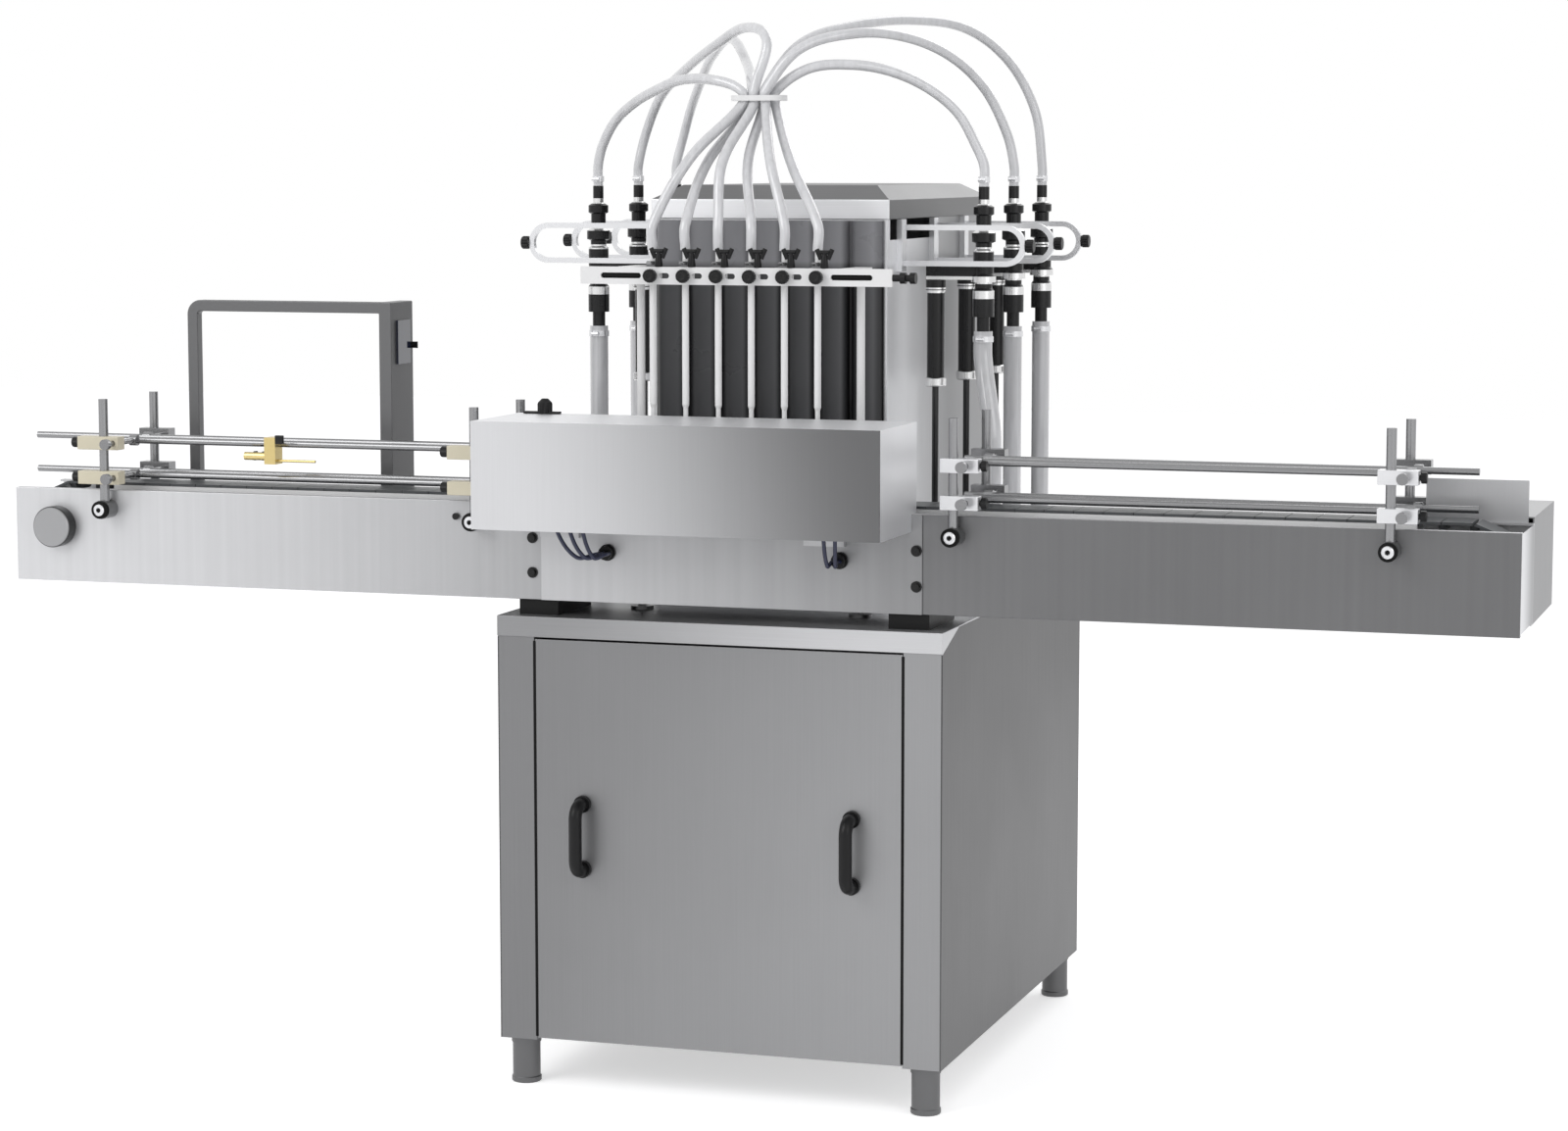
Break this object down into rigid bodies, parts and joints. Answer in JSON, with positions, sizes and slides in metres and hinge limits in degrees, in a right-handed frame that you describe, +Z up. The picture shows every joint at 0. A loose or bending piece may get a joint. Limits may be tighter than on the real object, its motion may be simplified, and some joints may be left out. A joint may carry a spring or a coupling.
{
  "type": "in-line liquid filling machine",
  "caption": "In-line piston filler: a slat conveyor crosses a steel cabinet, with diving nozzles, valve stacks and piston pumps on a lidded tower, and hoses that arch over it.",
  "frame": {"origin": "on the floor, under the centre of the bounding box", "axes": "+X along the conveyor from infeed to outfeed, +Y from the front towards the back, +Z up"},
  "size_m": [2.278, 0.982, 1.5725],
  "materials": {
    "sheet_steel": "satin",
    "panel_steel": "satin",
    "bright_steel": "polished",
    "alloy": "satin",
    "white_plastic": "satin",
    "clear_hose": "gloss",
    "grey_hose": "gloss",
    "chain_plastic": "matte",
    "blue_paint": "satin",
    "black_metal": "satin",
    "black_plastic": "satin",
    "guard_plastic": "gloss",
    "cream_plastic": "satin",
    "brass": "satin",
    "blue_tube": "gloss"
  },
  "bodies": {
    "base": {"cabinet_frame": "sheet_steel", "side_panel_left": "panel_steel", "side_panel_right": "panel_steel", "rear_panel": "panel_steel", "cabinet_floor": "sheet_steel", "cabinet_top": "sheet_steel", "levelling_feet": "sheet_steel", "front_side_plate": "sheet_steel", "rear_side_plate": "sheet_steel", "cross_members": "sheet_steel", "wear_strips": "white_plastic", "slat_chain": "chain_plastic", "shaft_bearings": "bright_steel", "bearing_cap": "bright_steel", "drive_housing": "sheet_steel", "gearmotor": "blue_paint", "middle_plate": "sheet_steel", "plate_bolts": "black_metal", "post_bosses": "bright_steel", "guide_posts": "bright_steel", "stop_cylinders": "alloy", "cable_glands": "black_plastic", "air_tubes": "blue_tube", "rod_bushes": "bright_steel", "dive_cylinder": "alloy", "tower_shell": "sheet_steel", "tower_lid": "sheet_steel", "fluted_guard": "guard_plastic", "pump_barrels": "black_metal", "servo_motor": "black_metal", "valve_bodies": "black_metal", "pump_yokes": "bright_steel", "yoke_knobs": "black_plastic", "fill_hoses": "clear_hose", "hose_ring": "clear_hose", "suction_hoses": "grey_hose", "portal_frame": "sheet_steel", "control_panel": "black_plastic"},
    "door": {"door_panel": "panel_steel", "door_handles": "black_plastic"},
    "cover": {"stop_cover": "sheet_steel"},
    "filling_bar": {"nozzle_bar": "white_plastic", "nozzles": "white_plastic", "clamp_knobs": "black_plastic", "dive_rods": "sheet_steel"},
    "pump_drive": {"pump_crosshead": "sheet_steel", "piston_rods": "bright_steel"},
    "screw": {"ball_screw": "bright_steel"},
    "drive_sprocket": {"drive_shaft": "bright_steel"},
    "idler_sprocket": {"idler_shaft": "bright_steel"},
    "blocks_left": {"blocks_front_left": "cream_plastic"},
    "rails_left": {"rails_front_left": "bright_steel", "bottle_sensor": "brass"},
    "blocks_right": {"blocks_front_right": "bright_steel"},
    "rails_right": {"rails_front_right": "bright_steel"},
    "rear_rails_left": {"rails_rear_left": "bright_steel"},
    "rear_rails_right": {"rails_rear_right": "bright_steel"},
    "stop_left": {"stop_rod_left": "brass"},
    "stop_right": {"stop_rod_right": "brass"},
    "selector": {"selector_knob": "black_plastic"}
  },
  "joints": [
    {"name": "door_lift_off", "type": "slide", "parent": "base", "child": "door", "axis": [0, -1, 0], "range_m": [0, 0.15]},
    {"name": "cover_lift_off", "type": "slide", "parent": "base", "child": "cover", "axis": [0, 0, 1], "range_m": [0, 0.12]},
    {"name": "nozzle_dive", "type": "slide", "parent": "base", "child": "filling_bar", "axis": [0, 0, 1], "range_m": [-0.06, 0], "deforming": ["fill_hoses"]},
    {"name": "pump_stroke", "type": "slide", "parent": "base", "child": "pump_drive", "axis": [0, 0, 1], "range_m": [0, 0.06]},
    {"name": "screw_spin", "type": "hinge", "parent": "base", "child": "screw", "pos_m": [-0.005, 0.185, 0.5], "axis": [0, 0, 1], "range_deg": [0, 1080]},
    {"name": "drive_turn", "type": "hinge", "parent": "base", "child": "drive_sprocket", "pos_m": [1.06, -0.255, 0.8026], "axis": [0, 1, 0], "continuous": true},
    {"name": "idler_turn", "type": "hinge", "parent": "base", "child": "idler_sprocket", "pos_m": [-1.06, -0.255, 0.8026], "axis": [0, 1, 0], "continuous": true},
    {"name": "blocks_left_height", "type": "slide", "parent": "base", "child": "blocks_left", "axis": [0, 0, 1], "range_m": [-0.003, 0.04]},
    {"name": "rails_left_reach", "type": "slide", "parent": "blocks_left", "child": "rails_left", "axis": [0, 1, 0], "range_m": [-0.015, 0.015]},
    {"name": "blocks_right_height", "type": "slide", "parent": "base", "child": "blocks_right", "axis": [0, 0, 1], "range_m": [-0.003, 0.04]},
    {"name": "rails_right_reach", "type": "slide", "parent": "blocks_right", "child": "rails_right", "axis": [0, 1, 0], "range_m": [-0.015, 0.015]},
    {"name": "rear_rails_left_height", "type": "slide", "parent": "base", "child": "rear_rails_left", "axis": [0, 0, 1], "range_m": [-0.003, 0.04]},
    {"name": "rear_rails_right_height", "type": "slide", "parent": "base", "child": "rear_rails_right", "axis": [0, 0, 1], "range_m": [-0.003, 0.04]},
    {"name": "stop_left_reach", "type": "slide", "parent": "base", "child": "stop_left", "axis": [0, 1, 0], "range_m": [0, 0.025]},
    {"name": "stop_right_reach", "type": "slide", "parent": "base", "child": "stop_right", "axis": [0, 1, 0], "range_m": [0, 0.025]},
    {"name": "selector_turn", "type": "hinge", "parent": "base", "child": "selector", "pos_m": [-0.573, -0.107, 1.074], "axis": [1, 0, 0], "range_deg": [-135, 135]}
  ],
  "couplings": [
    {"joint": "screw_spin", "follows": "pump_stroke", "rad_per_m": 314.16},
    {"joint": "idler_turn", "follows": "drive_turn", "ratio": 1}
  ]
}
